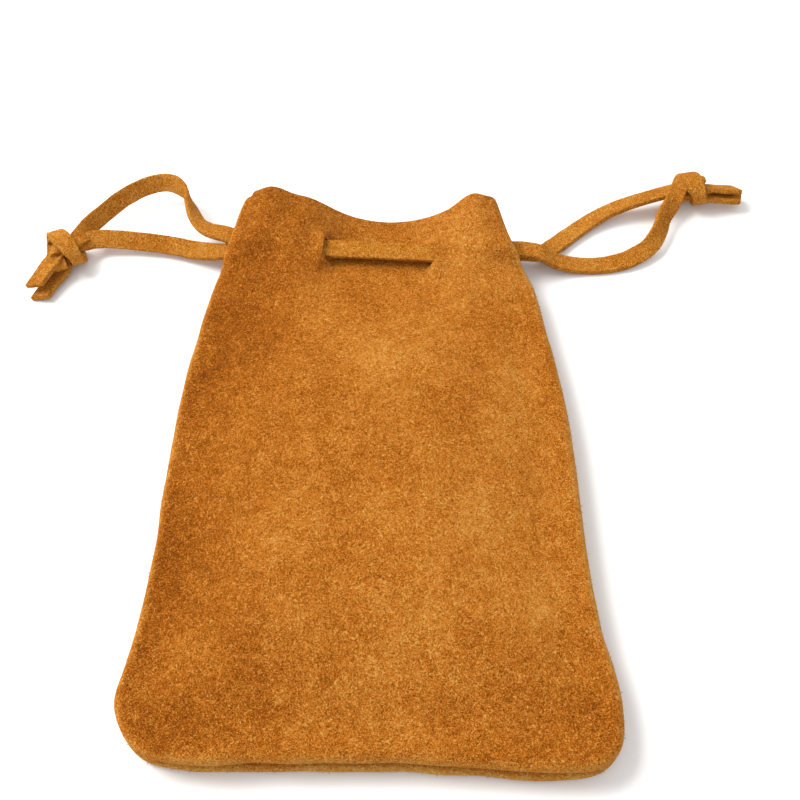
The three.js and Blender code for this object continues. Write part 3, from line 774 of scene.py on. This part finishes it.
front = panel("front_leather", FRONT_SHY, front_height, front_edge_z, front_tucked, 11)
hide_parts("front_panel")
back = panel("back_leather", 0, back_height, lambda y: BACK_EDGE_Z, lambda y: SEAM_Z - ALLOWANCE_MIDDLE, 12)
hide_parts("back_panel")


THREAD_AIR = 0.1  # mm, between a thread and the leather
HOLE_DIP = 0.25  # mm, how far a thread dips at a needle hole
THREAD_SIDES = 6


def seam_thread(name, side, node):
    """One thread of the lockstitch: short flat runs on the allowance, dipping at each needle hole.
    `side` is 1 on the front's allowance and -1 on the back's."""
    top = along_at(SEAM_TOP_Y - 2)
    level = SEAM_Z + side * (GAP / 2 + LEATHER + THREAD_AIR + THREAD / 2)
    rows = []
    for along in np.linspace(-top, top, round(2 * top / STITCH) * 4 + 1):
        x, y = inset(edge_station(along), STITCH_INSET)
        dip = HOLE_DIP * bell((along / STITCH) % 1 - 0.5, 0.16)
        rows.append((*settle(x, y), level - side * dip))
    line = smooth_line(rows, 0.6)
    bm, column, row = place_grid(THREAD_SIDES, len(line) - 1)
    tangent = np.gradient(line, axis=0)
    for vert in bm.verts:
        angle = 2 * math.pi * vert[column] / THREAD_SIDES
        ahead = Vector(tangent[vert[row]]).normalized()
        outward = ahead.cross(Vector((0, 0, 1))).normalized()
        offset = outward * math.cos(angle) + ahead.cross(outward) * math.sin(angle)
        vert.co = (Vector(line[vert[row]]) + offset * THREAD / 2) * MM
    bmesh.ops.remove_doubles(bm, verts=bm.verts, dist=0.01 * MM)
    bmesh.ops.holes_fill(bm, edges=[e for e in bm.edges if e.is_boundary], sides=0)
    bmesh.ops.recalc_face_normals(bm, faces=bm.faces)
    piece = finish_piece(name, bm, thread_polyester)
    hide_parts(node)


seam_thread("needle_side_stitches", 1, "needle_thread")
seam_thread("bobbin_side_stitches", -1, "bobbin_thread")

# ---- Loose nap -------------------------------------------------------------------------------------

FIBRE_SIDES = 3
FIBRE_LEAN = 0.9  # how far a fibre may lean, 0 for straight out of the leather
FIBRE_SCATTER = 0.2  # mm, how far a root strays from the middle of its patch of leather
FIBRE_ROOTED = 0.25  # mm, how deep a root sits
FLOOR_AIR = 0.1  # mm, the least height of a tip
STRETCHED = 3  # mm, the leather is stretched this near to the outline and to the mouth
FLAT_SHARE = 0.12  # loose fibres on the flat, as a share of those on a turned edge


def loose_fibres(count):
    """A bmesh of `count` tapered fibres, its corners numbered by fibre and by place on the fibre,
    the tip last."""
    bm = bmesh.new()
    number, corner = bm.verts.layers.int.new("number"), bm.verts.layers.int.new("corner")
    bmesh.ops.create_cone(bm, cap_ends=True, segments=FIBRE_SIDES, radius1=1, radius2=0, depth=1)
    bmesh.ops.remove_doubles(bm, verts=bm.verts, dist=0.01)
    for i, vert in enumerate(sorted(bm.verts, key=lambda v: v.co.z)):
        vert[corner] = i
    made = 1
    while made < count:
        copies = bmesh.ops.duplicate(bm, geom=[*bm.verts, *bm.edges, *bm.faces])["geom"]
        for vert in (item for item in copies if isinstance(item, bmesh.types.BMVert)):
            vert[number] += made
        made *= 2
    return bm, number, corner


def loose_nap_on(name, pieces, count, likely, seed):
    """Cut fibres that stand out from finished pieces, mostly where `likely` of a place is high.
    `count` is a power of two."""
    centres, normals, areas = [], [], []
    for piece in pieces:
        mesh = piece.evaluated_get(bpy.context.evaluated_depsgraph_get()).to_mesh()
        for polygon in mesh.polygons:
            centres.append(polygon.center[:])
            normals.append(polygon.normal[:])
            areas.append(polygon.area * likely(*polygon.center))
    centres, normals, areas = np.array(centres), np.array(normals), np.array(areas)
    chance = np.random.RandomState(seed)
    picks = chance.choice(len(areas), count, p=areas / areas.sum())
    lean = chance.normal(size=(count, 3))
    lean /= np.linalg.norm(lean, axis=1)[:, None]
    ahead = normals[picks] + FIBRE_LEAN * lean
    ahead /= np.linalg.norm(ahead, axis=1)[:, None]
    length = chance.uniform(*FIBRE_LENGTH, count)[:, None] * MM
    aside = np.cross(ahead, lean + (0.1, 0.2, 0.3))
    aside /= np.linalg.norm(aside, axis=1)[:, None]
    third = np.cross(ahead, aside)
    roots = centres[picks] + (lean * FIBRE_SCATTER - normals[picks] * FIBRE_ROOTED) * MM
    tips = roots + ahead * length
    tips[:, 2] = np.maximum(tips[:, 2], FLOOR_AIR * MM)
    bm, number, corner = loose_fibres(count)
    for vert in bm.verts:
        i, place = vert[number], vert[corner]
        turn = 2 * math.pi * place / FIBRE_SIDES
        offset = (aside[i] * math.cos(turn) + third[i] * math.sin(turn)) * FIBRE_RADIUS * MM
        vert.co = tips[i] if place == FIBRE_SIDES else roots[i] + offset
    bmesh.ops.recalc_face_normals(bm, faces=bm.faces)
    finish_piece(name, bm, loose_nap_painted_light)


def on_turned_edges(x, y, z):
    """The nap stands out where the leather is stretched over an edge, and at the cut mouth."""
    at_outline = edge_distance(x / MM, y / MM) < STRETCHED
    at_mouth = y / MM > LENGTH / 2 - STRETCHED
    return (1 if at_outline or at_mouth else FLAT_SHARE) * (z > MM)


loose_nap_on("panel_nap", [front, back], 16384, on_turned_edges, 21)
loose_nap_on("lace_nap", laces, 8192, lambda x, y, z: z > 0.5 * MM, 22)

# ---- Floor and light -------------------------------------------------------------------------------


def paper_floor():
    """Matt white paper."""
    material = new_material("white_paper")
    shader = add_node(material, "ShaderNodeBsdfPrincipled", {
        "Base Color": linear("#F4F4F4"), "Roughness": 0.9, "Specular IOR Level": 0.2,
    })
    add_node(material, "ShaderNodeOutputMaterial", {"Surface": shader.outputs["BSDF"]})
    bm = bmesh.new()
    bmesh.ops.create_grid(bm, x_segments=1, y_segments=1, size=3)
    mesh = bpy.data.meshes.new("floor")
    bm.to_mesh(mesh)
    bm.free()
    mesh.materials.append(material)
    floor = bpy.data.objects.new("floor", mesh)
    bpy.context.scene.collection.objects.link(floor)


def area_light(name, place, size, power, colour):
    data = bpy.data.lights.new(name, "AREA")
    data.size = size
    data.energy = power
    data.color = linear(colour)[:3]
    light = bpy.data.objects.new(name, data)
    light.location = place
    light.rotation_euler = Vector(place).to_track_quat("Z", "Y").to_euler()
    bpy.context.scene.collection.objects.link(light)


paper_floor()
area_light("key", (-0.65, 0.35, 0.75), 0.55, 14, "#FFFDF8")
world = bpy.data.worlds.new("studio")
world.use_nodes = True
world.node_tree.nodes["Background"].inputs["Color"].default_value = linear("#FFFFFF")
world.node_tree.nodes["Background"].inputs["Strength"].default_value = 0.85
bpy.context.scene.world = world
bpy.context.scene.view_settings.view_transform = "Standard"
